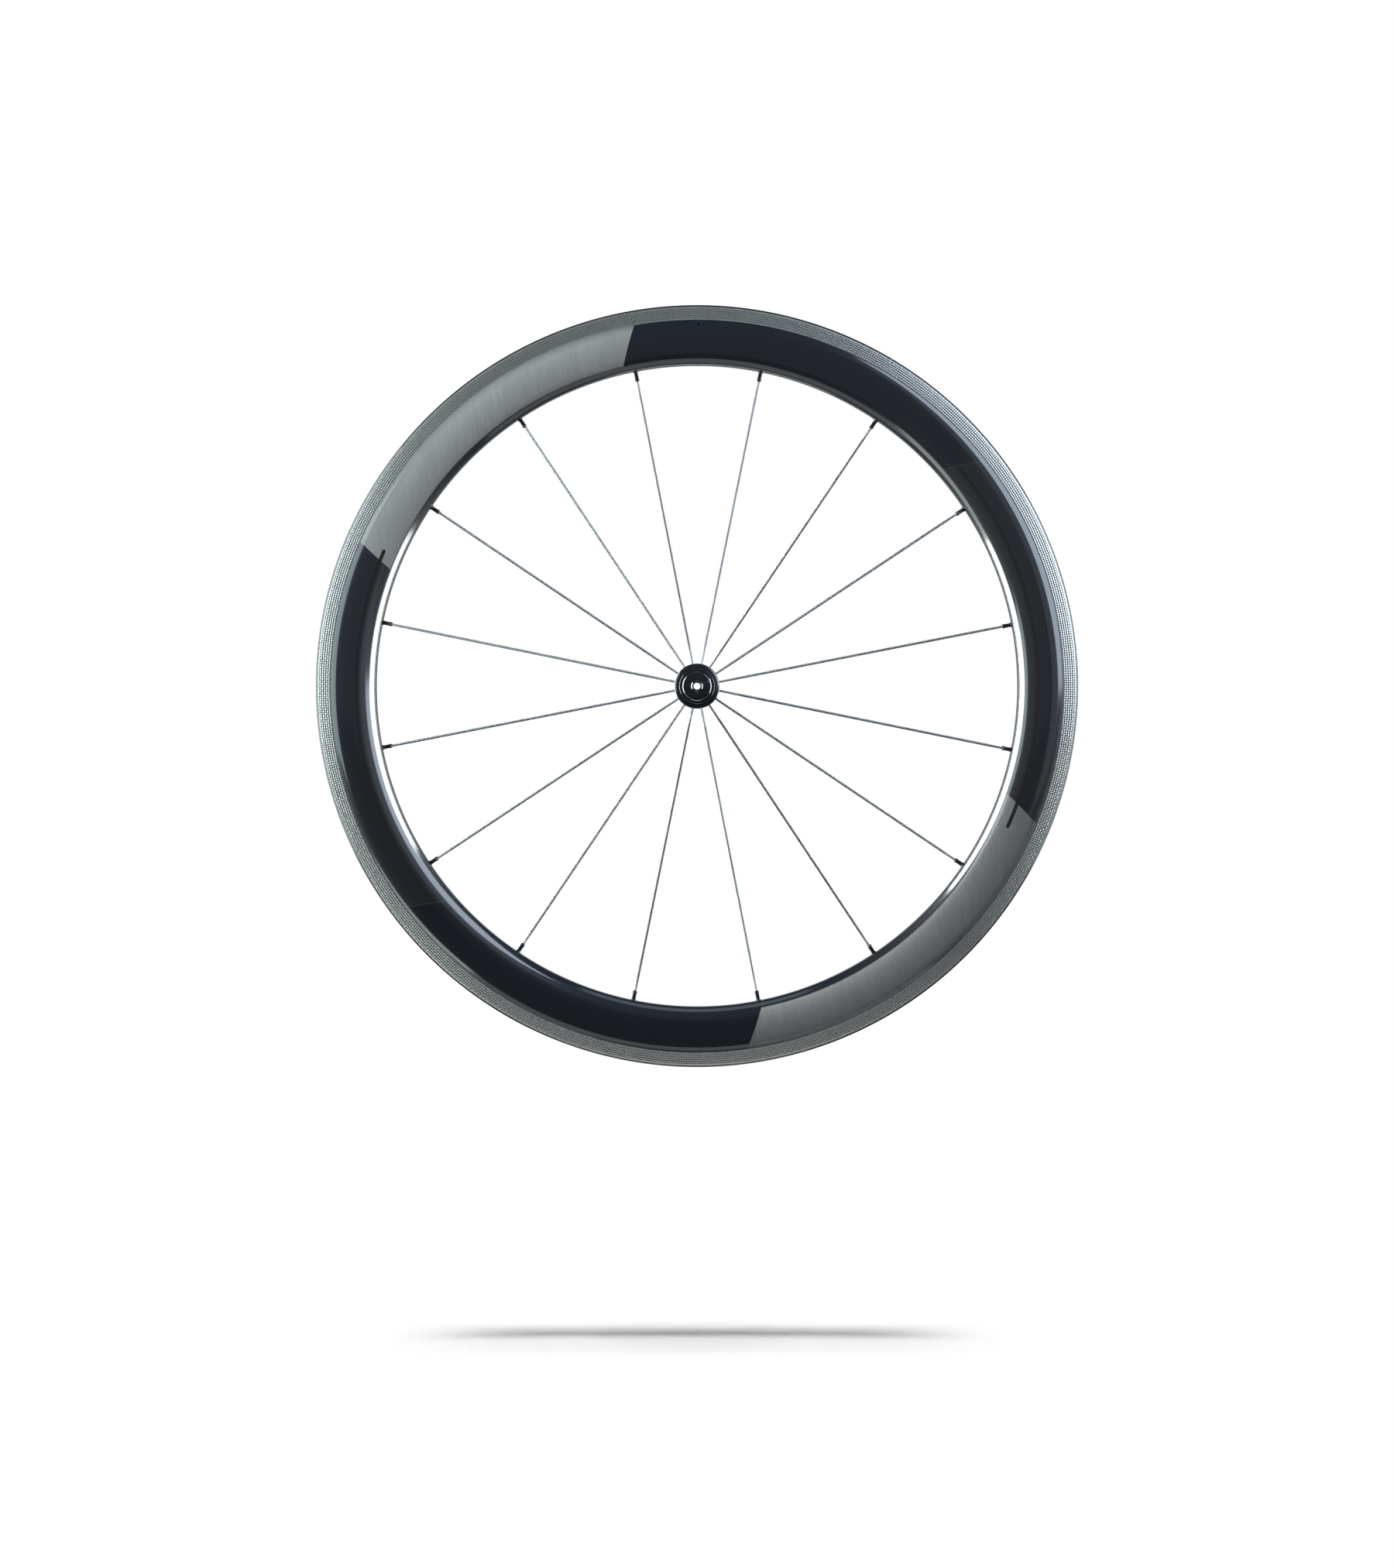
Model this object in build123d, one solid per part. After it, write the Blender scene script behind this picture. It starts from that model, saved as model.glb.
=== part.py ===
from build123d import *
import math
import os

# Front bicycle wheel in millimetres. The origin is the wheel's centre, the axle lies along Y and Z is up.
# The near side of the wheel is -Y (right) and the far side is +Y (left).

# Rim section: radii from the axle, half widths from the middle plane
rim_r = 316.5
bead_seat_r = 311.0
well_r = 307.6
well_half = 4.8
channel_half = 10.35
hook_half = 9.75
track_half = 13.7
track_foot_r = 305.0
widest_r = 294.0
widest_half = 14.7
flank_r = 277.5
flank_half = 12.4
cheek_r = 270.2
cheek_half = 9.0
nose_r = 266.5
nose_half = 3.6
bed_wall = 1.5
nose_wall = 2.6
cavity_half = 11.5
cavity_floor_half = 4.0
nipple_hole_width = 4.2
nipple_hole_depth = 8.0
valve_hole_r = 3.25
valve_drill_length = 60.0
vent_r = 0.8
vent_depth = 8.0
vent_at_r = 300.4

# Spokes and nipples, along the spoke from its aim point in the rim
spoke_count = 16
spoke_pitch = 360 / spoke_count
spoke_rim_r = 268.0
spoke_hub_r = 15.2
spoke_hub_y = 34.0
blade_width = 2.1
blade_flat = 1.2
blade_thickness = 0.9
thread_depth = 6.0
head_span = 4.2
head_thickness = 2.0
head_height = 2.0
head_clearance = 0.15
nipple_seat = -1.7
nipple_tip = 9.6
nipple_flats = 3.2
nipple_corner_r = 2.0
nipple_head_flats = 5.5
nipple_head_height = 2.4

# Hub shell
barrel_r = 11.4
shell_bore_r = 9.8
flange_r = 18.7
flange_inner_y = 31.0
flange_outer_y = 37.0
mouth_r = 14.6
mouth_y = 44.0
slot_width = 2.4
slot_length = 6.8
slot_floor_y = 35.1
pocket_r = 12.9
pocket_width = 4.6
pocket_floor_y = 35.6
seat_depth = 6.0

# Bearings, axle and end caps
bearing_r = 11.0
bearing_inner_y = 38.0
bearing_outer_y = 44.0
bearing_play = 0.05
axle_r = 5.0
axle_stub_r = 4.5
axle_bore_r = 2.8
axle_end_y = 54.5
cap_r = 12.2
cap_back_y = 44.4
fork_face_y = 50.0


def turned(corners):
    # ring about the axle from the (r, y) corners of its section
    return revolve(make_face(Polyline(*corners, close=True)), Axis.Y, 360)


def whole(half):
    # corners of a section from those of its +Y half
    return half + [(r, -y) for r, y in reversed(half)]


def both_sides(shape):
    return Compound([shape, mirror(shape, about=Plane.XZ)])


def spoke_turn(index):
    # turn about the axle; the valve hole is halfway between the first and the last spoke
    return Rot(0, (index + 0.5) * spoke_pitch, 0)


def spoke_frame(index):
    # at a spoke's aim point in the rim, with z along the spoke to the hub and x along the rim
    side = 1 if index % 2 else -1
    lean = math.degrees(math.atan2(spoke_hub_y, spoke_rim_r - spoke_hub_r))
    return spoke_turn(index) * Pos(0, 0, spoke_rim_r) * Rot(180 + side * lean, 0, 0)


# Rim: one hollow moulding with a hooked tyre channel, two brake tracks and a blunt nose
section = [
    (well_r, well_half),
    (bead_seat_r, channel_half),
    (rim_r, hook_half),
    (rim_r, track_half),
    (track_foot_r, track_half),
    (widest_r, widest_half),
    (flank_r, flank_half),
    (cheek_r, cheek_half),
    (nose_r, nose_half),
]
cavity = [
    (well_r - bed_wall, cavity_half),
    (flank_r, cavity_half),
    (nose_r + nose_wall, cavity_floor_half),
]
rim = turned(whole(section)) - turned(whole(cavity))
nipple_hole = Pos(0, 0, spoke_rim_r) * Box(nipple_hole_width, nipple_hole_width, nipple_hole_depth)
for index in range(spoke_count):
    rim -= spoke_turn(index) * nipple_hole
rim -= Pos(0, 0, (nose_r + rim_r) / 2) * Cylinder(valve_hole_r, valve_drill_length)
rim -= Pos(0, -widest_half, vent_at_r) * Rot(90, 0, 0) * Cylinder(vent_r, vent_depth)

# Spoke: a flat blade with bevelled edges and a T-shaped head
spoke_length = math.hypot(spoke_hub_y, spoke_rim_r - spoke_hub_r) + head_clearance
blade_start = nipple_tip - thread_depth
blade_corners = [
    (blade_width / 2, 0),
    (blade_flat / 2, blade_thickness / 2),
    (-blade_flat / 2, blade_thickness / 2),
    (-blade_width / 2, 0),
    (-blade_flat / 2, -blade_thickness / 2),
    (blade_flat / 2, -blade_thickness / 2),
]
blade_section = make_face(Polyline(*blade_corners, close=True))
blade = Pos(0, 0, blade_start) * extrude(blade_section, spoke_length - blade_start)
head = Pos(0, 0, spoke_length + head_height / 2) * Box(head_span, head_thickness, head_height)
spoke = blade + head

# Nipple: a square shank with cut corners and a hexagon head inside the rim
shank_square = Rectangle(nipple_flats, nipple_flats)
corner_cut = nipple_flats / 2 - math.sqrt(nipple_corner_r**2 - (nipple_flats / 2) ** 2)
shank_section = chamfer(shank_square.vertices(), corner_cut)
shank = Pos(0, 0, nipple_seat) * extrude(shank_section, nipple_tip - nipple_seat)
nipple_head_section = RegularPolygon(nipple_head_flats / 2, 6, major_radius=False)
nipple_head = Pos(0, 0, nipple_seat) * extrude(nipple_head_section, -nipple_head_height)
nipple = shank + nipple_head

# Hub shell: barrel, two bearing seats and two flanges, slotted from inside for the spokes and their heads
shell_section = [
    (barrel_r, flange_inner_y),
    (flange_r, flange_inner_y),
    (flange_r, flange_outer_y),
    (mouth_r, flange_outer_y),
    (mouth_r, mouth_y),
    (bearing_r, mouth_y),
    (bearing_r, bearing_inner_y),
    (shell_bore_r, bearing_inner_y),
]
hub_shell = turned(whole(shell_section))
from_floor = (Align.CENTER, Align.MAX, Align.MIN)
slot = Pos(0, slot_floor_y, pocket_r) * Box(slot_width, seat_depth, slot_length, align=from_floor)
pocket_length = spoke_hub_r - pocket_r
pocket = Pos(0, pocket_floor_y, pocket_r) * Box(pocket_width, seat_depth, pocket_length, align=from_floor)
spoke_seat = slot + pocket
for index in range(spoke_count):
    side = Rot(0, 0, 0 if index % 2 else 180)
    hub_shell -= spoke_turn(index) * side * spoke_seat

# Axle, sealed bearings and end caps
axle_section = [
    (axle_r, fork_face_y),
    (axle_stub_r, fork_face_y),
    (axle_stub_r, axle_end_y),
    (axle_bore_r, axle_end_y),
]
axle = turned(whole(axle_section))


def ring(bore_r, outer_r, inner_y, outer_y):
    return turned([(bore_r, inner_y), (outer_r, inner_y), (outer_r, outer_y), (bore_r, outer_y)])


bearing = ring(axle_r + bearing_play, bearing_r, bearing_inner_y, bearing_outer_y)
end_cap = ring(axle_r, cap_r, cap_back_y, fork_face_y)

parts = {
    "rim": rim,
    "nipples": Compound([spoke_frame(index) * nipple for index in range(spoke_count)]),
    "hub_shell": hub_shell,
    "bearings": both_sides(bearing),
    "axle": axle,
    "end_caps": both_sides(end_cap),
}
for index in range(spoke_count):
    parts[f"spoke_{index + 1:02d}"] = spoke_frame(index) * spoke

os.makedirs("parts", exist_ok=True)
for name, shape in parts.items():
    export_step(shape, f"parts/{name}.step")
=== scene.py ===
import math
import bmesh
import bpy
from mathutils import Matrix


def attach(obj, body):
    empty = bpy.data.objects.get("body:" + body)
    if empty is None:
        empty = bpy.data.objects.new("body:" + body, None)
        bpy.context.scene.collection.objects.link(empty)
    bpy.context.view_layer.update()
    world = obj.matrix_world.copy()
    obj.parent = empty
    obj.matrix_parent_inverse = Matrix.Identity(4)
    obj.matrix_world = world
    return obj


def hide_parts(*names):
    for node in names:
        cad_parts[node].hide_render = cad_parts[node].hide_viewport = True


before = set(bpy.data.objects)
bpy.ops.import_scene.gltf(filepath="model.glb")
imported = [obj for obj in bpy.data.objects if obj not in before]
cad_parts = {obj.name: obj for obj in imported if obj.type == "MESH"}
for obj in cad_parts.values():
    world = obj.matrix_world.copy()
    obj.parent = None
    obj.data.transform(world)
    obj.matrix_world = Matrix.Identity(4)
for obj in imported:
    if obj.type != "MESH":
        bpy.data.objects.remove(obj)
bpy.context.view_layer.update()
mm = 0.001


class Wire:
    # one socket of a node tree; arithmetic on it adds Math nodes
    def __init__(self, tree, socket=None):
        self.tree = tree
        self.socket = socket

    def add(self, kind, settings, sockets, out=0):
        node = self.tree.nodes.new(kind)
        for key, value in settings.items():
            setattr(node, key, value)
        for key, value in sockets.items():
            if isinstance(value, Wire):
                self.tree.links.new(value.socket, node.inputs[key])
            else:
                node.inputs[key].default_value = value
        return Wire(self.tree, node.outputs[out])

    def maths(self, operation, *values):
        return self.add("ShaderNodeMath", {"operation": operation}, dict(enumerate(values)))

    def __add__(self, other):
        return self.maths("ADD", self, other)

    def __radd__(self, other):
        return self.maths("ADD", other, self)

    def __sub__(self, other):
        return self.maths("SUBTRACT", self, other)

    def __rsub__(self, other):
        return self.maths("SUBTRACT", other, self)

    def __mul__(self, other):
        return self.maths("MULTIPLY", self, other)

    def __rmul__(self, other):
        return self.maths("MULTIPLY", other, self)

    def __truediv__(self, other):
        return self.maths("DIVIDE", self, other)

    def __pow__(self, other):
        return self.maths("POWER", self, other)

    def below(self, edge, soft):
        # 1 under the edge, 0 over it, with a soft step between
        sockets = {0: self, 1: edge - soft, 2: edge + soft, 3: 1.0, 4: 0.0}
        return self.add("ShaderNodeMapRange", {"interpolation_type": "SMOOTHSTEP"}, sockets)

    def above(self, edge, soft):
        return 1 - self.below(edge, soft)

    def part(self, axis):
        return self.add("ShaderNodeSeparateXYZ", {}, {0: self}, axis)

    def point(self, x, y, z):
        return self.add("ShaderNodeCombineXYZ", {}, {0: x, 1: y, 2: z})

    def noise(self, scale, detail=2.0, rough=0.5):
        sockets = {"Vector": self, "Scale": scale, "Detail": detail, "Roughness": rough}
        return self.add("ShaderNodeTexNoise", {}, sockets)

    def tint(self, low, high):
        # colour between two colours, by this value
        sockets = {0: self, 6: low, 7: high}
        return self.add("ShaderNodeMix", {"data_type": "RGBA"}, sockets, 2)

    def bump(self, distance, strength=1.0):
        return self.add("ShaderNodeBump", {}, {"Strength": strength, "Distance": distance, "Height": self})


def colour(red, green, blue):
    # display values, 0 to 255, as the linear colour that a socket takes
    def linear(value):
        value /= 255
        return value / 12.92 if value <= 0.04045 else ((value + 0.055) / 1.055) ** 2.4

    return (linear(red), linear(green), linear(blue), 1.0)


def newFinish(name, constants):
    # a material with its fixed values set, and the wire that reads Object coordinates
    finish = bpy.data.materials.new(name)
    finish.use_nodes = True
    shader = finish.node_tree.nodes["Principled BSDF"]
    for key, value in constants.items():
        shader.inputs[key].default_value = value
    place = Wire(finish.node_tree).add("ShaderNodeTexCoord", {}, {}, "Object")
    return finish, place


def feed(finish, inputs):
    shader = finish.node_tree.nodes["Principled BSDF"]
    for key, wire in inputs.items():
        finish.node_tree.links.new(wire.socket, shader.inputs[key])


def polar(place):
    # distance from the axle in mm, and degrees clockwise from the top as seen from the near side
    x = place.part(0)
    z = place.part(2)
    radius = (x * x + z * z) ** 0.5 / mm
    turn = x.maths("ARCTAN2", x, z) * (180 / math.pi)
    return radius, turn


def deselectAll():
    if bpy.context.mode != "OBJECT":
        bpy.ops.object.mode_set(mode="OBJECT")
    bpy.ops.object.select_all(action="DESELECT")


def pick(piece):
    deselectAll()
    piece.select_set(True)
    bpy.context.view_layer.objects.active = piece


def selectPoints(piece, wanted):
    # in edit mode: selects the vertices that the test takes
    mesh = bmesh.from_edit_mesh(piece.data)
    for vertex in mesh.verts:
        vertex.select_set(wanted(vertex))
    mesh.select_flush_mode()
    bmesh.update_edit_mesh(piece.data)


def turnOutline(name, corners, steps):
    # draws the (r, y) outline corner by corner, closes it and spins it about the axle
    deselectAll()
    bpy.ops.mesh.primitive_plane_add(size=mm)
    piece = bpy.context.object
    piece.name = name
    bpy.ops.object.mode_set(mode="EDIT")
    bpy.ops.mesh.select_all(action="SELECT")
    bpy.ops.mesh.merge(type="CENTER")
    at = (0, 0)
    for number, corner in enumerate(corners):
        move = ((corner[0] - at[0]) * mm, (corner[1] - at[1]) * mm, 0)
        if number:
            bpy.ops.mesh.extrude_vertices_move(TRANSFORM_OT_translate={"value": move})
        else:
            bpy.ops.transform.translate(value=move)
        at = corner
    selectPoints(piece, lambda vertex: len(vertex.link_edges) == 1)
    bpy.ops.mesh.edge_face_add()
    bpy.ops.mesh.select_all(action="SELECT")
    bpy.ops.mesh.spin(steps=steps, angle=2 * math.pi, center=(0, 0, 0), axis=(0, 1, 0))
    bpy.ops.mesh.select_all(action="SELECT")
    bpy.ops.mesh.remove_doubles(threshold=0.002 * mm)
    bpy.ops.mesh.normals_make_consistent(inside=False)
    bpy.ops.object.mode_set(mode="OBJECT")
    return piece


def arc(centre, radius, first, last, steps):
    # (r, y) points round a centre; 0 degrees points outwards from the axle, 90 degrees along +Y
    points = []
    for step in range(steps + 1):
        angle = math.radians(first + (last - first) * step / steps)
        points.append((centre[0] + radius * math.cos(angle), centre[1] + radius * math.sin(angle)))
    return points


def bothHalves(half):
    # the whole outline from its +Y half
    return half + [(r, -y) for r, y in reversed(half) if y > 0.0001]


def place(piece, matrix):
    piece.matrix_world = matrix
    pick(piece)
    bpy.ops.object.transform_apply(location=True, rotation=True, scale=True)


def twin(piece, name):
    pick(piece)
    bpy.ops.object.duplicate()
    copy = bpy.context.object
    copy.name = name
    return copy


def joined(pieces, name):
    deselectAll()
    for piece in pieces:
        piece.select_set(True)
    bpy.context.view_layer.objects.active = pieces[0]
    bpy.ops.object.join()
    whole = bpy.context.object
    whole.name = name
    return whole


def combine(piece, tool, operation):
    pick(piece)
    bpy.ops.object.modifier_add(type="BOOLEAN")
    modifier = piece.modifiers[-1]
    modifier.operation = operation
    modifier.object = tool
    modifier.solver = "EXACT"
    bpy.ops.object.modifier_apply(modifier=modifier.name)
    bpy.data.objects.remove(tool)


def box(size, centre, name="cutter"):
    deselectAll()
    bpy.ops.mesh.primitive_cube_add(size=1, location=[value * mm for value in centre])
    block = bpy.context.object
    block.name = name
    block.scale = [value * mm for value in size]
    bpy.ops.object.transform_apply(location=True, rotation=True, scale=True)
    return block


def rod(radius, first, last, sides, name="cutter"):
    # a cylinder along Z
    deselectAll()
    middle = (0, 0, (first + last) / 2 * mm)
    long = (last - first) * mm
    bpy.ops.mesh.primitive_cylinder_add(vertices=sides, radius=radius * mm, depth=long, location=middle)
    cylinder = bpy.context.object
    cylinder.name = name
    bpy.ops.object.transform_apply(location=True, rotation=True, scale=True)
    return cylinder


def smooth(piece, angle):
    pick(piece)
    bpy.ops.object.shade_smooth_by_angle(angle=math.radians(angle))


def paint(piece, finishes, choose):
    # each face takes the finish whose number the chooser gives for its centre and normal
    piece.data.materials.clear()
    for finish in finishes:
        piece.data.materials.append(finish)
    pick(piece)
    bpy.ops.object.mode_set(mode="EDIT")
    bpy.ops.mesh.select_mode(type="FACE")
    for number in range(1, len(finishes)):
        mesh = bmesh.from_edit_mesh(piece.data)
        for face in mesh.faces:
            face.select_set(choose(face.calc_center_median() / mm, face.normal) == number)
        bmesh.update_edit_mesh(piece.data)
        piece.active_material_index = number
        bpy.ops.object.material_slot_assign()
    bpy.ops.mesh.select_mode(type="VERT")
    bpy.ops.object.mode_set(mode="OBJECT")


def settle(piece, body, slot, *nodes):
    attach(piece, body)
    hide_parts(*nodes)


def spokeTurn(number):
    return Matrix.Rotation(math.radians((number + 0.5) * 360 / spokeSet["count"]), 4, "Y")


def spokePlace(number):
    # at a spoke's aim point in the rim, z along the spoke to the hub and x along the rim
    side = 1 if number % 2 else -1
    lean = math.atan2(spokeSet["hubY"], spokeSet["rimR"] - spokeSet["hubR"])
    lift = Matrix.Translation((0, 0, spokeSet["rimR"] * mm))
    return spokeTurn(number) @ lift @ Matrix.Rotation(math.pi + side * lean, 4, "X")


# Rim section in mm: distance from the axle and half width. Drills: radius, ends and sides
rimSet = {
    "steps": 384,
    "smooth": 24,
    "noseR": 266.5,
    "tipRound": 28.72,
    "cornerRound": 4.28,
    "cheekRound": 24.0,
    "turns": (80, 40, 17.5),
    "sideRound": 57.8,
    "widest": (294.0, 14.7),
    "shoulderR": 299.0,
    "shoulderRound": 14.5,
    "shoulderTilt": 24,
    "footRound": 1.6,
    "outerR": 316.5,
    "edgeRound": 1.7,
    "lipRound": 0.55,
    "hookHalf": 9.75,
    "hookR": 314.2,
    "hookFall": 0.9,
    "channelHalf": 10.35,
    "shelfR": 311.0,
    "shelfHalf": 7.3,
    "shelfRound": 0.6,
    "wellR": 307.6,
    "wellHalf": 4.2,
    "wellSteps": 6,
    "channelFromR": 305.5,
    "cavity": [(306.1, 11.2), (280.0, 11.2), (273.0, 8.0), (269.1, 3.6)],
    "nippleDrill": (2.35, 262, 273, 32),
    "valveDrill": (3.25, 258, 322, 48),
    "ventDrill": (0.8, 8, 18, 24),
    "ventAt": 300.4,
}
spokeSet = {
    "count": 16,
    "rimR": 268.0,
    "hubR": 15.2,
    "hubY": 34.0,
    "headGap": 0.15,
}


def onward(at, radius, start, end, steps):
    # an arc that goes on from a point of the outline
    turn = math.radians(start)
    centre = (at[0] - radius * math.cos(turn), at[1] - radius * math.sin(turn))
    return arc(centre, radius, start, end, steps)[1:]


def rimOutline():
    # half outline from the middle of the nose round to the middle of the tyre well
    s = rimSet
    side = (s["widest"][0], s["widest"][1] - s["sideRound"])
    corner, cheek, flank = s["turns"]
    half = arc((s["noseR"] + s["tipRound"], 0), s["tipRound"], 180, 90 + corner, 5)
    half += onward(half[-1], s["cornerRound"], 90 + corner, 90 + cheek, 8)
    half += onward(half[-1], s["cheekRound"], 90 + cheek, 90 + flank, 14)
    lean = math.degrees(math.asin((s["shoulderR"] - side[0]) / s["sideRound"]))
    half += arc(side, s["sideRound"], 90 + flank, 90 - lean, 16)[1:]
    half += onward(half[-1], s["shoulderRound"], 90 - lean, 90 - s["shoulderTilt"], 6)
    half += onward(half[-1], s["footRound"], 270 - s["shoulderTilt"], 270, 5)
    track = half[-1][1]
    edge = s["edgeRound"]
    half += arc((s["outerR"] - edge, track - edge), edge, 90, 0, 5)
    lip = s["lipRound"]
    half += arc((s["outerR"] - lip, s["hookHalf"] + lip), lip, 0, -90, 4)
    half += [(s["hookR"], s["hookHalf"]), (s["hookR"] - s["hookFall"], s["channelHalf"])]
    shelf = s["shelfRound"]
    half += arc((s["shelfR"] + shelf, s["channelHalf"] - shelf), shelf, 90, 180, 4)
    # the shelf rolls over into the well
    drop = s["shelfR"] - s["wellR"]
    for step in range(s["wellSteps"] + 1):
        along = step / s["wellSteps"]
        fall = (1 - math.cos(math.pi * along)) / 2
        half.append((s["shelfR"] - drop * fall, s["shelfHalf"] + (s["wellHalf"] - s["shelfHalf"]) * along))
    half.append((s["wellR"], 0))
    return half, track


rimHalf, trackHalf = rimOutline()
trackFootR = max(r for r, y in rimHalf if y > trackHalf + 0.0005)


def makeRim():
    s = rimSet
    rim = turnOutline("rimShell", bothHalves(rimHalf), s["steps"])
    hollow = turnOutline("hollow", bothHalves(s["cavity"]), s["steps"])
    combine(rim, hollow, "DIFFERENCE")
    cutters = []
    for number in range(spokeSet["count"]):
        drill = rod(*s["nippleDrill"])
        place(drill, spokeTurn(number))
        cutters.append(drill)
    cutters.append(rod(*s["valveDrill"]))
    vent = rod(*s["ventDrill"])
    place(vent, Matrix.Translation((0, 0, s["ventAt"] * mm)) @ Matrix.Rotation(math.radians(90), 4, "X"))
    cutters.append(vent)
    combine(rim, joined(cutters, "drills"), "DIFFERENCE")
    smooth(rim, s["smooth"])
    return rim


# Panels of the left half: degrees clockwise from the top, at the nose and at the brake track.
# The right half has them half a turn on, moved by the shifts.
panelSet = {
    "fromR": 266.5,
    "toR": 305.0,
    "silverStart": (-69.8, -66.9),
    "startShift": (-1.8, -1.1),
    "silverEnd": (-13.75, -10.0),
    "endShift": (1.6, 2.0),
    "seam": (-131.5, -127.2),
    "seamShift": (-0.7, -0.9),
    "soft": 0.12,
    # the silver stops at this radius; the dark nose inside it is painted shade
    "silverAboveNoseShadeR": 272.4,
    "silverToR": 306.0,
    "silver": colour(188, 191, 190),
    "silverDark": colour(166, 169, 169),
    "thinR": 300.5,
    "silverThin": colour(126, 131, 133),
    "grainLean": -8,
    "stripeR": 283.0,
    "stripeHalf": 1.5,
    "stripeEnd": -66.9,
    "stripeShift": 1.0,
    "stripe": (0.0012, 0.0015, 0.002, 1),
    "gloss": (0.001, 0.005, 0.0145, 1),
    "satin": (0.001, 0.0045, 0.0125, 1),
    # painted highlight colour for the lines along the seam and the panel's end
    "glintLine": colour(120, 128, 130),
    "glintHalf": (0.28, 0.22),
    "glintToR": 304.0,
    "rubbedR": 313.6,
}


def rimLaminate():
    s = panelSet
    soft = s["soft"]
    finish, spot = newFinish("rimLaminate", {"Coat Roughness": 0.1, "Coat IOR": 1.6, "Specular IOR Level": 0.1})
    radius, turn = polar(spot)
    period = turn.maths("WRAP", turn, 0.0, -180.0)
    right = turn.above(0.0, 0.01)
    across = (radius - s["fromR"]) / (s["toR"] - s["fromR"])

    def past(edge, shift):
        # mm past a slanted panel edge, along the rim
        slant = across * (edge[1] - edge[0]) + edge[0]
        further = across * (shift[1] - shift[0]) + shift[0]
        return (period - slant - right * further) * (math.pi / 180) * radius

    start = past(s["silverStart"], s["startShift"])
    end = past(s["silverEnd"], s["endShift"])
    seam = past(s["seam"], s["seamShift"])
    panel = start.above(0.0, soft) * end.below(0.0, soft)
    # the silver stops short of the nose, so the dark laminate there is painted shade standing in for the silver
    # nose turned away from the light
    silver = panel * radius.above(s["silverAboveNoseShadeR"], 0.6) * radius.below(s["silverToR"], 0.3)
    satin = seam.above(0.0, soft) * start.below(0.0, soft)
    # straight fibres, leaning a little from upright
    lean = math.radians(s["grainLean"])
    x = spot.part(0)
    z = spot.part(2)
    over = (x * math.cos(lean) - z * math.sin(lean)) / mm
    along = (x * math.sin(lean) + z * math.cos(lean)) / mm
    fine = spot.point(over * 1.5, along * 0.04, 0.0).noise(1.3, 3.0, 0.6)
    broad = spot.point(over * 0.22, along * 0.012, 4.0).noise(1.0, 2.0)
    cross = spot.point(along * 0.8, over * 0.05, 9.0).noise(1.0, 2.0)
    grain = fine * 0.65 + broad * 0.25 + cross * 0.1
    dark = satin.tint(s["gloss"], s["satin"])
    metal = grain.below(0.5, 0.2).tint(s["silver"], s["silverDark"])
    # the silver thins out towards the brake track
    metal = radius.above(s["thinR"], 3.5).tint(metal, s["silverThin"])
    base = silver.tint(dark, metal)
    # stripe with a round end inside the silver panel
    reach = (period - s["stripeEnd"] - right * s["stripeShift"]) * (math.pi / 180 * s["stripeR"])
    beyond = reach.maths("MAXIMUM", reach, 0.0)
    off = radius - s["stripeR"]
    capsule = (beyond * beyond + off * off) ** 0.5
    stripe = capsule.below(s["stripeHalf"], soft) * seam.above(0.0, soft)
    base = stripe.tint(base, s["stripe"])
    # painted highlight: fine pale lines along the seam and the silver panel's end, standing in for light caught
    # on the laminate's step edge
    seamGlint = seam.maths("ABSOLUTE", seam).below(s["glintHalf"][0], 0.1)
    endGlint = end.maths("ABSOLUTE", end).below(s["glintHalf"][1], 0.1)
    glintLine = (seamGlint + endGlint * 0.5) * radius.below(s["glintToR"], 0.2)
    base = (glintLine * 0.4).tint(base, s["glintLine"])
    # the coat is rubbed dull round the outer edge
    rubbed = radius.above(s["rubbedR"], 0.4)
    feed(finish, {
        "Base Color": base,
        "Metallic": silver * (1 - stripe) * 0.02,
        "Roughness": 0.4 + satin * 0.1 + silver * 0.15 + (grain - 0.5) * 0.1,
        "Coat Weight": 1 - silver * 0.2 - stripe * 0.5 - rubbed * 0.85,
        "Normal": (grain * silver).bump(0.05 * mm, 0.6),
    })
    return finish


# Brake track in mm: flat tows woven square, with the cells counted round the rim
trackSet = {
    "cells": 1012,
    "row": 1.8,
    "tow": colour(164, 164, 161),
    "gap": colour(66, 71, 72),
    "border": colour(184, 186, 184),
    "borderWide": 0.9,
    "ridge": 0.23,
}


def brakeTrack():
    s = trackSet
    finish, spot = newFinish("brakeTrack", {"Specular IOR Level": 0.5})
    radius, turn = polar(spot)
    column = turn * (s["cells"] / 360) + s["cells"]
    row = (radius - trackFootR) / s["row"] + 10
    u = column.maths("FRACT", column)
    v = row.maths("FRACT", row)
    count = column.maths("FLOOR", column) + row.maths("FLOOR", row)
    odd = count.maths("MODULO", count, 2.0)
    humpU = u.maths("SINE", u * math.pi)
    humpV = v.maths("SINE", v * math.pi)
    wobble = spot.noise(260.0, 2.0)
    height = humpV * (0.8 + humpU * 0.2) * (1 - odd * 0.35) + humpU * odd * 0.13
    tow = (humpU * humpV) ** 0.5
    shade = tow * (0.75 + odd * 0.25) + (wobble - 0.5) * 0.1
    weave = shade.below(0.45, 0.4).tint(s["tow"], s["gap"])
    # the band's two woven edges are denser, and painted paler as a highlight along both edges
    outer = rimSet["outerR"] - rimSet["edgeRound"]
    border = radius.above(outer - s["borderWide"], 0.3) + radius.below(trackFootR + s["borderWide"], 0.3)
    feed(finish, {
        "Base Color": (border * 0.3).tint(weave, s["border"]),
        "Metallic": 0.85 + odd * 0.1,
        "Roughness": 0.26 + wobble * 0.05,
        "Normal": (height * (1 - border * 0.5)).bump(s["ridge"] * mm, 1.0),
    })
    return finish


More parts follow.
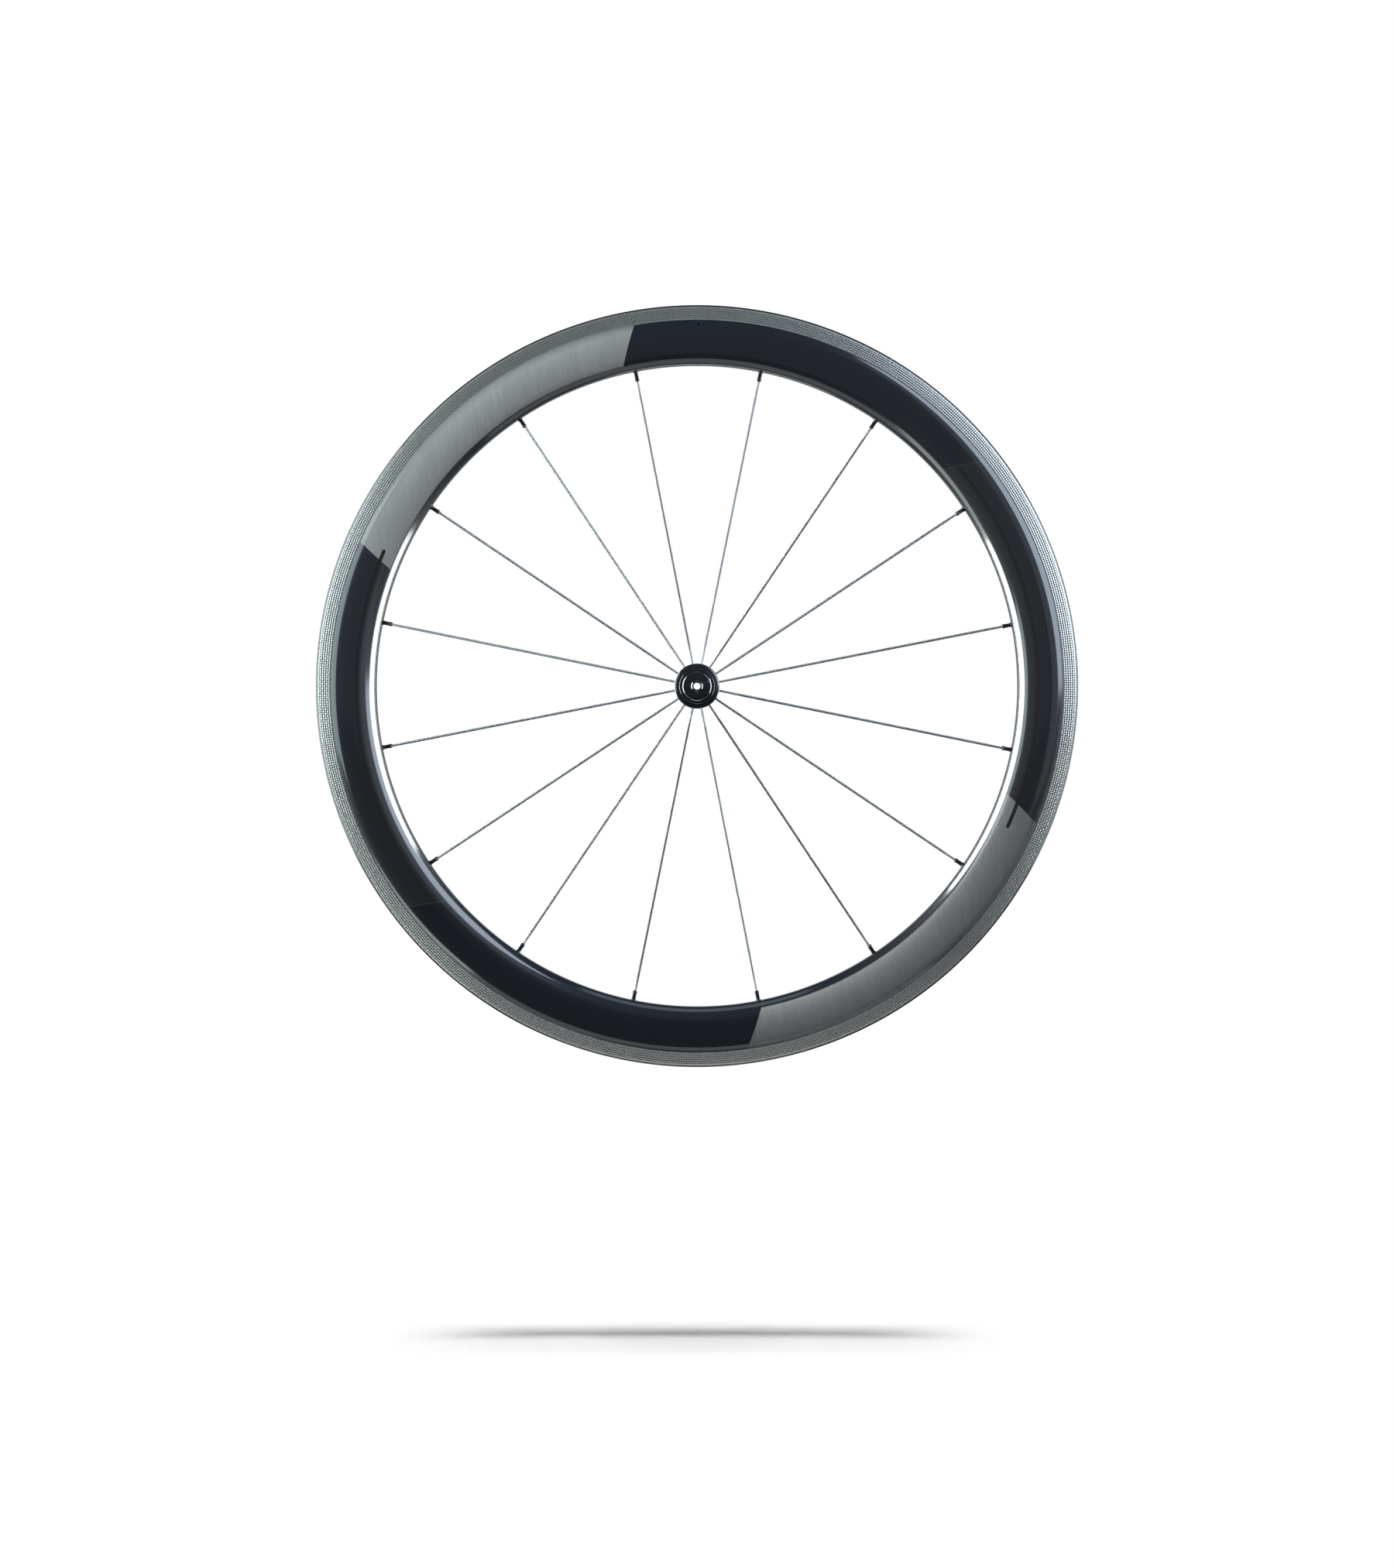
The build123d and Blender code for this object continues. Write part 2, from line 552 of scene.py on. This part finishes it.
def tyreBed():
    # bare laminate as it leaves the mould: dull, with a faint twill
    finish, spot = newFinish("tyreBed", {"Specular IOR Level": 0.12})
    radius, turn = polar(spot)
    twill = turn * 5.6 + spot.part(1) / mm * 1.2 + radius * 1.2
    wave = twill.maths("SINE", twill)
    cloud = spot.noise(90.0, 3.0)
    shade = (wave * 0.25 + cloud).below(0.5, 0.5)
    feed(finish, {
        "Base Color": shade.tint(colour(44, 46, 50), colour(24, 26, 29)),
        "Roughness": 0.42 + cloud * 0.2,
        "Normal": (wave * 0.5 + cloud * 0.4).bump(0.05 * mm, 0.5),
    })
    return finish


def rimFinish(centre, normal):
    # 1 on the tracks, 2 in the tyre channel and the cavity, whose faces look inwards
    radius = math.hypot(centre.x, centre.z)
    half = abs(centre.y)
    flat = abs(normal.y) > 0.97
    if flat and radius > trackFootR - 0.05 and half > trackHalf - 0.4:
        return 1
    rise = (centre.x * normal.x + centre.z * normal.z) / radius
    inward = (radius - rimSet["widest"][0]) * rise + centre.y * normal.y < 0
    channel = radius > rimSet["channelFromR"] and half < trackHalf - rimSet["edgeRound"]
    return 2 if channel or inward else 0


rim = makeRim()
paint(rim, [rimLaminate(), brakeTrack(), tyreBed()], rimFinish)
settle(rim, "wheel", "rim_laminate", "rim")
print("rim done:", len(rim.data.polygons), "faces")

# Spoke stations in mm: distance along the spoke, half width along the rim, half thickness
bladeSet = {
    "sides": 20,
    "smooth": 40,
    "start": 3.6,
    "round": 0.95,
    "halfWidth": 1.05,
    "halfThick": 0.45,
    "blendRim": (13.0, 23.0),
    "blendHub": (24.0, 10.0),
    "blendSteps": 5,
    "neck": 0.9,
    "headHalf": 2.1,
    "headThick": 1.0,
    "headHeight": 2.0,
    "headEdge": 0.3,
    "headFoot": (1.68, 1.0),
    "headTop": (1.75, 0.7),
}


def eased(first, last, sizes, newSizes):
    # stations from one section over to another
    steps = bladeSet["blendSteps"]
    stations = []
    for step in range(steps + 1):
        share = step / steps
        ease = share * share * (3 - 2 * share)
        wide, thick = [size + (new - size) * ease for size, new in zip(sizes, newSizes)]
        stations.append((first + (last - first) * share, wide, thick))
    return stations


def makeSpoke():
    s = bladeSet
    length = math.hypot(spokeSet["hubY"], spokeSet["rimR"] - spokeSet["hubR"]) + spokeSet["headGap"]
    wire = (s["round"], s["round"])
    blade = (s["halfWidth"], s["halfThick"])
    edge = s["headEdge"]
    top = length + s["headHeight"]
    stations = [(s["start"], *wire)]
    stations += eased(*s["blendRim"], wire, blade)
    stations += eased(length - s["blendHub"][0], length - s["blendHub"][1], blade, wire)
    stations.append((length - s["neck"], *wire))
    stations.append((length, *s["headFoot"]))
    stations.append((length + edge, s["headHalf"], s["headThick"]))
    stations.append((top - edge, s["headHalf"], s["headThick"]))
    stations.append((top, *s["headTop"]))
    deselectAll()
    bpy.ops.mesh.primitive_circle_add(
        vertices=s["sides"], radius=s["round"] * mm, fill_type="NGON", location=(0, 0, s["start"] * mm)
    )
    spoke = bpy.context.object
    bpy.ops.object.transform_apply(location=True, rotation=True, scale=True)
    bpy.ops.object.mode_set(mode="EDIT")
    bpy.ops.mesh.select_all(action="SELECT")
    last = stations[0]
    for station in stations[1:]:
        rise = (0, 0, (station[0] - last[0]) * mm)
        bpy.ops.mesh.extrude_region_move(TRANSFORM_OT_translate={"value": rise})
        grow = (station[1] / last[1], station[2] / last[2], 1)
        bpy.ops.transform.resize(value=grow, center_override=(0, 0, station[0] * mm))
        last = station
    bpy.ops.mesh.select_all(action="SELECT")
    bpy.ops.mesh.normals_make_consistent(inside=False)
    bpy.ops.object.mode_set(mode="OBJECT")
    smooth(spoke, s["smooth"])
    return spoke


def spokeSteel():
    # drawn steel with a satin grey coating and fine lengthwise marks
    finish, spot = newFinish("spokeSteel", {"Metallic": 0.03, "Specular IOR Level": 0.32})
    radius, turn = polar(spot)
    marks = spot.point(turn * 40.0, radius * 0.02, spot.part(1) * 900.0).noise(3.0, 2.0)
    cloud = spot.noise(60.0, 2.0)
    feed(finish, {
        "Base Color": (marks * 0.6 + cloud * 0.4).tint(colour(160, 168, 176), colour(202, 209, 216)),
        "Roughness": 0.3 + marks * 0.12,
    })
    return finish


spokeFinish = spokeSteel()
spokeMaster = makeSpoke()
spokeMaster.data.materials.append(spokeFinish)
for number in range(spokeSet["count"]):
    spoke = twin(spokeMaster, f"spokeBlade.{number + 1:02d}")
    place(spoke, spokePlace(number))
    settle(spoke, "wheel", "spoke_steel", f"spoke_{number + 1:02d}")
bpy.data.objects.remove(spokeMaster)
print("spokes done")

# Nipple, in mm along the spoke
nippleSet = {
    "sides": 32,
    "smooth": 35,
    "seat": -1.7,
    "overlap": 0.4,
    "collar": 2.3,
    "shankEnd": 8.3,
    "tip": 9.6,
    "radius": 2.0,
    "flat": 1.6,
    "flatGap": 0.5,
    "neckRadius": 1.72,
    "neckRise": 0.25,
    "tipRadius": 1.25,
    "headRadius": 3.17,
    "headHeight": 2.4,
    "bevel": 0.14,
    "bevelAngle": 38,
}


def riseAndShrink(rise, share):
    bpy.ops.mesh.extrude_region_move(TRANSFORM_OT_translate={"value": (0, 0, rise * mm)})
    bpy.ops.transform.resize(value=(share, share, 1), center_override=(0, 0, 0))


def makeNipple():
    s = nippleSet
    nipple = rod(s["radius"], s["seat"] - s["overlap"], s["tip"], s["sides"], "nipple")
    pick(nipple)
    bpy.ops.object.mode_set(mode="EDIT")
    # a turned tip, then the four wrench flats
    selectPoints(nipple, lambda vertex: vertex.co.z > (s["tip"] - 0.1) * mm)
    bpy.ops.transform.translate(value=(0, 0, (s["shankEnd"] - s["tip"]) * mm))
    bpy.ops.mesh.select_mode(type="FACE")
    mesh = bmesh.from_edit_mesh(nipple.data)
    for face in mesh.faces:
        face.select_set(face.normal.z > 0.9)
    bmesh.update_edit_mesh(nipple.data)
    riseAndShrink(s["neckRise"], s["neckRadius"] / s["radius"])
    riseAndShrink(s["tip"] - s["shankEnd"] - s["neckRise"], s["tipRadius"] / s["neckRadius"])
    bpy.ops.mesh.select_mode(type="VERT")
    bpy.ops.object.mode_set(mode="OBJECT")
    flats = []
    flatEnd = s["shankEnd"] - s["flatGap"]
    for side in range(4):
        size = (2 * s["radius"], s["radius"], flatEnd - s["collar"])
        block = box(size, (0, s["flat"] + s["radius"] / 2, (s["collar"] + flatEnd) / 2))
        place(block, Matrix.Rotation(math.radians(90 * side), 4, "Z"))
        flats.append(block)
    combine(nipple, joined(flats, "flats"), "DIFFERENCE")
    head = rod(s["headRadius"], s["seat"] - s["headHeight"], s["seat"], 6, "nippleHead")
    combine(nipple, head, "UNION")
    pick(nipple)
    bpy.ops.object.modifier_add(type="BEVEL")
    bevel = nipple.modifiers[-1]
    bevel.width = s["bevel"] * mm
    bevel.segments = 2
    bevel.limit_method = "ANGLE"
    bevel.angle_limit = math.radians(s["bevelAngle"])
    bpy.ops.object.modifier_apply(modifier=bevel.name)
    smooth(nipple, s["smooth"])
    return nipple


def nippleBlack():
    # black anodised metal, a little mottled, with a fine rubbed texture
    finish, spot = newFinish("nippleBlack", {"Metallic": 0.85})
    cloud = spot.noise(700.0, 3.0)
    rub = spot.noise(2400.0, 2.0)
    feed(finish, {
        "Base Color": cloud.tint(colour(22, 23, 26), colour(44, 46, 50)),
        "Roughness": 0.26 + rub * 0.2,
        "Normal": rub.bump(0.01 * mm, 0.4),
    })
    return finish


nippleMaster = makeNipple()
nippleMaster.data.materials.append(nippleBlack())
nippleCopies = []
for number in range(spokeSet["count"]):
    copy = twin(nippleMaster, f"nipple.{number + 1:02d}")
    place(copy, spokePlace(number))
    nippleCopies.append(copy)
bpy.data.objects.remove(nippleMaster)
nipples = joined(nippleCopies, "spokeNipples")
settle(nipples, "wheel", "nipple_metal", "nipples")
print("nipples done")

# Hub shell in mm: distance from the axle and half length. Slot and pocket: width, floor, inner and outer end
hubSet = {
    "steps": 128,
    "smooth": 28,
    "bore": 9.8,
    "seatR": 11.0,
    "seatY": 38.0,
    "mouthR": 14.6,
    "mouthY": 44.0,
    "flangeR": 18.7,
    "flangeY": (31.0, 37.0),
    "barrel": 11.4,
    "barrelY": 12,
    "rootRound": 1.6,
    "edge": 0.7,
    "seatEdge": 0.4,
    "mouthRound": 0.35,
    "bevel": (16.2, 0.65),
    "slot": (2.4, 35.1, 12.9, 19.7),
    "pocket": (4.6, 35.6, 12.9, 15.2),
    "cutDepth": 6,
}


def makeHub():
    s = hubSet
    edge = s["edge"]
    mouth = s["mouthRound"]
    root = s["rootRound"]
    inner, outer = s["flangeY"]
    half = [(s["bore"], 0), (s["bore"], s["seatY"]), (s["seatR"], s["seatY"])]
    half += [(s["seatR"], s["mouthY"] - s["seatEdge"]), (s["seatR"] + s["seatEdge"], s["mouthY"])]
    half += arc((s["mouthR"] - mouth, s["mouthY"] - mouth), mouth, 90, 0, 5)
    half += [(s["mouthR"], outer), (s["bevel"][0], outer)]
    half += arc((s["flangeR"] - edge, outer - s["bevel"][1] - edge), edge, 70, 0, 5)
    half += arc((s["flangeR"] - edge, inner + edge), edge, 0, -90, 5)
    half += arc((s["barrel"] + root, inner - root), root, 90, 180, 6)
    half += [(s["barrel"], s["barrelY"]), (s["barrel"], 0)]
    hub = turnOutline("hubShell", bothHalves(half), s["steps"])
    cutters = []
    for number in range(spokeSet["count"]):
        turn = spokeTurn(number) @ Matrix.Rotation(0 if number % 2 else math.pi, 4, "Z")
        for wide, floor, low, high in (s["slot"], s["pocket"]):
            middle = (0, floor - s["cutDepth"] / 2, (low + high) / 2)
            cutter = box((wide, s["cutDepth"], high - low), middle)
            place(cutter, turn)
            cutters.append(cutter)
    slots = cutters[0]
    for cutter in cutters[1:]:
        combine(slots, cutter, "UNION")
    combine(hub, slots, "DIFFERENCE")
    smooth(hub, s["smooth"])
    return hub


def glossBlack(name, pitch, capGlint):
    # black anodised metal under a clear coat, with faint turning marks round the axle
    constants = {"Coat Weight": 1.0, "Coat Roughness": 0.14, "Coat IOR": 1.6, "Specular IOR Level": 0.05}
    finish, spot = newFinish(name, constants)
    radius, turn = polar(spot)
    rings = spot.point(radius * pitch, spot.part(1) * pitch / mm, 0.0).noise(1.0, 2.0)
    cloud = spot.noise(240.0, 2.0)
    base = (rings * 0.4 + cloud * 0.6).tint((0.002, 0.004, 0.009, 1), (0.004, 0.007, 0.014, 1))
    if capGlint:
        # painted highlight: one fine radial streak of light across the turned face, with a bright glint spot on
        # the edge
        away = (turn - capGlint["turn"]) * radius * (math.pi / 180)
        out = radius - capGlint["glintSpotR"]
        glintSpot = (away * away + out * out) ** 0.5
        glintLine = away.maths("ABSOLUTE", away).below(capGlint["half"], 0.1) * radius.above(capGlint["from"], 0.2)
        base = glintLine.tint(base, capGlint["glintLine"])
        base = glintSpot.below(capGlint["glintSpot"], 0.3).tint(base, capGlint["bright"])
    feed(finish, {
        "Base Color": base,
        "Roughness": 0.34 + rings * 0.12,
        "Normal": rings.bump(0.004 * mm, 0.3),
    })
    return finish


hub = makeHub()
hub.data.materials.append(glossBlack("hubBlack", 4.0, None))
settle(hub, "wheel", "hub_black", "hub_shell")
print("hub done")

# End caps and axle in mm: distance from the axle's line and half length
capSet = {
    "steps": 128,
    "smooth": 28,
    "boreR": 5.0,
    "outerR": 12.2,
    "backY": 44.4,
    "faceY": 50.0,
    "faceRound": 1.5,
    "backEdge": 0.3,
    "boreEdge": 0.25,
    # painted highlight on the caps' face: where the radial streak and the glint spot sit, and their colours
    "capGlint": {
        "turn": 66.5,
        "half": 0.25,
        "from": 5.4,
        "glintSpotR": 11.9,
        "glintSpot": 0.85,
        "glintLine": (0.16, 0.26, 0.3, 1),
        "bright": (0.72, 0.82, 0.86, 1),
    },
}


def makeCaps():
    s = capSet
    back = s["backEdge"]
    face = s["faceRound"]
    bore = s["boreEdge"]
    outline = [(s["boreR"], s["backY"]), (s["outerR"] - back, s["backY"]), (s["outerR"], s["backY"] + back)]
    outline += arc((s["outerR"] - face, s["faceY"] - face), face, 0, 90, 8)
    outline += [(s["boreR"] + bore, s["faceY"]), (s["boreR"], s["faceY"] - bore)]
    far = turnOutline("capFar", outline, s["steps"])
    near = turnOutline("capNear", [(r, -y) for r, y in outline], s["steps"])
    caps = joined([near, far], "endCaps")
    smooth(caps, s["smooth"])
    return caps


caps = makeCaps()
caps.data.materials.append(glossBlack("capBlack", 5.0, capSet["capGlint"]))
settle(caps, "axle_assembly", "cap_black", "end_caps")

axleSet = {
    "steps": 96,
    "smooth": 28,
    "bodyR": 5.0,
    "stubR": 4.5,
    "boreR": 2.8,
    "faceY": 50.0,
    "endY": 54.5,
    "endRound": 0.7,
    "stepEdge": 0.2,
    "boreEdge": 0.25,
}


def makeAxle():
    s = axleSet
    end = s["endRound"]
    step = s["stepEdge"]
    bore = s["boreEdge"]
    half = [(s["bodyR"], 0), (s["bodyR"], s["faceY"] - step)]
    half += [(s["stubR"] + step, s["faceY"]), (s["stubR"], s["faceY"] + step), (s["stubR"], s["endY"] - end)]
    half += arc((s["stubR"] - end, s["endY"] - end), end, 15, 75, 3)
    half += [(s["stubR"] - end, s["endY"]), (s["boreR"] + bore, s["endY"])]
    half += [(s["boreR"], s["endY"] - bore), (s["boreR"], 0)]
    axle = turnOutline("axleTube", bothHalves(half), s["steps"])
    smooth(axle, s["smooth"])
    return axle


axle = makeAxle()
axle.data.materials.append(glossBlack("axleMetal", 6.0, None))
settle(axle, "axle_assembly", "axle_metal", "axle")

# The bearings keep their CAD mesh
bearingSet = {
    "seal": (6.6, 9.4),
    "steel": (colour(150, 153, 156), colour(196, 198, 200)),
    "rubber": colour(20, 20, 22),
}


def bearingSteel():
    # ground steel rings with a dark seal between them
    s = bearingSet
    finish, spot = newFinish("bearingSteel", {})
    radius = polar(spot)[0]
    seal = radius.above(s["seal"][0], 0.1) * radius.below(s["seal"][1], 0.1)
    rings = spot.point(radius * 7.0, spot.part(1) * 3000.0, 1.0).noise(1.0, 2.0)
    steel = rings.tint(*s["steel"])
    feed(finish, {
        "Base Color": seal.tint(steel, s["rubber"]),
        "Metallic": 1 - seal,
        "Roughness": 0.22 + seal * 0.4 + rings * 0.08,
    })
    return finish


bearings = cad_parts["bearings"]
bearings.data.materials.clear()
bearings.data.materials.append(bearingSteel())
print("axle, caps and bearings done")

# Studio in metres. Floor fades: where the floor is half gone, and half the width of the fade
stageSet = {
    "floorZ": -0.535,
    "floorSize": (0.54, 0.5),
    "floorFade": (0.195, 0.065),
    "floorDeep": (0.2, 0.04),
    "sunAt": (0, 0.17, 2),
    "sun": 3.4,
    "sunAngle": 18,
    "reflected": (0.86, 1.0, 1.12, 1),
    "backWhite": 0.45,
    "front": 0.08,
    "room": 0.06,
    "fill": 0.02,
}


def makeFloor():
    s = stageSet
    deselectAll()
    bpy.ops.mesh.primitive_plane_add(size=1, location=(0, 0, s["floorZ"]))
    floor = bpy.context.object
    floor.name = "floor"
    floor.scale = (s["floorSize"][0], s["floorSize"][1], 1)
    floor.rotation_euler.y = math.radians(cameraSet["roll"])
    bpy.ops.object.transform_apply(location=True, rotation=True, scale=True)
    finish, spot = newFinish("paleFloor", {"Specular IOR Level": 0.0})
    cloud = spot.noise(3.0, 2.0)
    across = spot.part(0)
    deep = spot.part(1)
    sideFade = across.maths("ABSOLUTE", across).below(*s["floorFade"])
    deepFade = deep.maths("ABSOLUTE", deep).below(*s["floorDeep"])
    feed(finish, {
        "Base Color": cloud.tint((0.94, 0.94, 0.94, 1), (0.97, 0.97, 0.97, 1)),
        "Roughness": cloud * 0.1 + 0.85,
        "Alpha": sideFade * deepFade,
    })
    floor.data.materials.append(finish)
    floor.visible_diffuse = False
    return floor


def keepOff(lamp, piece):
    # the lamp lights everything but this piece
    group = bpy.data.collections.new(lamp.name + "Off")
    group.objects.link(piece)
    group.collection_objects[0].light_linking.link_state = "EXCLUDE"
    lamp.light_linking.receiver_collection = group


def addLamp(name, kind, location, aim, settings, mirrored):
    # a lamp that either shows in reflections or lights surfaces
    deselectAll()
    bpy.ops.object.light_add(type=kind, location=location)
    lamp = bpy.context.object
    lamp.name = name
    toward = Matrix.Translation(location).inverted() @ Matrix.Translation(aim)
    lamp.rotation_euler = toward.to_translation().to_track_quat("-Z", "Y").to_euler()
    for key, value in settings.items():
        setattr(lamp.data, key, value)
    lamp.visible_camera = False
    lamp.visible_glossy = mirrored
    lamp.visible_diffuse = not mirrored
    return lamp


# Cards that only reflections show, then lamps that only light surfaces: place, aim, size, radiance and tint
cardSet = {
    "stripLeft": ((-3.0, -0.57, 0.45), (0, -0.57, 0.45), (3.26, 3.9), 26.0, (0.95, 1.0, 0.98)),
    "stripRight": ((3.0, -0.61, 0.08), (0, -0.61, 0.08), (3.34, 3.35), 18.0, (0.94, 0.98, 1.0)),
    "cardUpper": ((0.92, -1.0, 0.58), (0.24, 0, 0.18), (0.64, 1.25), 5.7, (0.84, 0.96, 1.14)),
    "cardSheen": ((0.65, -1.43, 0.4), (0.26, 0, 0.15), (0.5, 1.2), 0.45, (0.8, 0.96, 1.16)),
    "cardTop": ((0, -0.6, 2.0), (0, -0.6, 0), (1.5, 1.2), 1.2, (0.86, 0.96, 1.1)),
    "cardLeft": ((-0.99, -1.0, 0.17), (-0.3, 0, 0), (0.6, 0.8), 3.5, (0.82, 1.0, 1.06)),
    "cardLower": ((-0.79, -0.6, -0.53), (-0.79, -0.6, 0), (0.75, 0.4), 3.7, (0.92, 1.0, 0.98)),
    "cardUnder": ((-0.05, 0.16, -0.53), (-0.05, 0.16, 0), (0.4, 0.4), 4.5, (0.92, 1.0, 0.98)),
    "cardFloor": ((0, -0.42, -0.53), (0, -0.42, 0), (0.9, 0.35), 0.9, (0.97, 1.0, 1.0)),
    "cardFront": ((-0.2, -0.45, 0.36), (-0.2, 0, 0.36), (1.0, 0.78), 0.12, (0.9, 1.0, 1.1)),
}
lampSet = {
    "key": ((-0.53, -0.44, 0.634), (0, 0, 0), (0.4, 0.4), 9.8, (0.95, 1.0, 1.0)),
    "fill": ((1.2, -1.8, 0.6), (0, 0, 0), (0.8, 0.8), 0.25, (0.93, 0.98, 1.0)),
}


def softbox(name, values, mirrored):
    location, aim, size, radiance, tint = values
    settings = {
        "shape": "RECTANGLE",
        "size": size[0],
        "size_y": size[1],
        "energy": radiance * math.pi * size[0] * size[1],
        "color": tint,
    }
    return addLamp(name, "AREA", location, aim, settings, mirrored)


def lightStudio(floor):
    s = stageSet
    sun = {"energy": s["sun"], "angle": math.radians(s["sunAngle"])}
    addLamp("overhead", "SUN", s["sunAt"], (0, 0, 0), sun, False)
    for name, values in cardSet.items():
        softbox(name, values, True)
    keepOff(softbox("key", lampSet["key"], False), floor)
    softbox("fill", lampSet["fill"], False)


def lightWorld():
    s = stageSet
    world = bpy.data.worlds.new("studio")
    bpy.context.scene.world = world
    world.use_nodes = True
    tree = world.node_tree
    start = Wire(tree)
    # reflections see a pale wall behind the wheel, a dim one ahead of it and a dark room
    way = start.add("ShaderNodeTexCoord", {}, {}, "Generated")
    behind = way.part(1).above(0.42, 0.2) * way.part(2).below(0.45, 0.15)
    ahead = way.part(1).below(-0.6, 0.15)
    seen = start.add("ShaderNodeLightPath", {}, {}, "Is Camera Ray")
    mirror = start.add("ShaderNodeLightPath", {}, {}, "Is Glossy Ray")
    through = start.add("ShaderNodeLightPath", {}, {}, "Is Transmission Ray")
    direct = seen.maths("MAXIMUM", seen, through)
    room = behind * (s["backWhite"] - s["room"]) + ahead * (s["front"] - s["room"]) + s["room"]
    reflected = mirror * room
    diffuse = (1 - direct) * (1 - mirror) * s["fill"]
    level = direct + (1 - direct) * reflected + diffuse
    background = tree.nodes["Background"]
    tree.links.new(mirror.tint((1, 1, 1, 1), s["reflected"]).socket, background.inputs["Color"])
    tree.links.new(level.socket, background.inputs["Strength"])


# Camera on the axle's line: metres, sensor in mm, roll in degrees
cameraSet = {
    "distance": 4.5,
    "viewHeight": 1.3056,
    "sensor": 36.0,
    "shift": -0.0624,
    "roll": -0.2,
}


def makeCamera():
    s = cameraSet
    deselectAll()
    bpy.ops.object.camera_add()
    camera = bpy.context.object
    camera.name = "camera"
    camera.data.sensor_width = s["sensor"]
    camera.data.lens = s["sensor"] * s["distance"] / s["viewHeight"]
    camera.data.shift_y = s["shift"]
    back = Matrix.Translation((0, -s["distance"], 0))
    roll = Matrix.Rotation(math.radians(s["roll"]), 4, "Y")
    camera.matrix_world = back @ roll @ Matrix.Rotation(math.radians(90), 4, "X")
    bpy.context.scene.camera = camera


lightStudio(makeFloor())
lightWorld()
makeCamera()
bpy.context.scene.view_settings.view_transform = "Standard"
print("studio done")
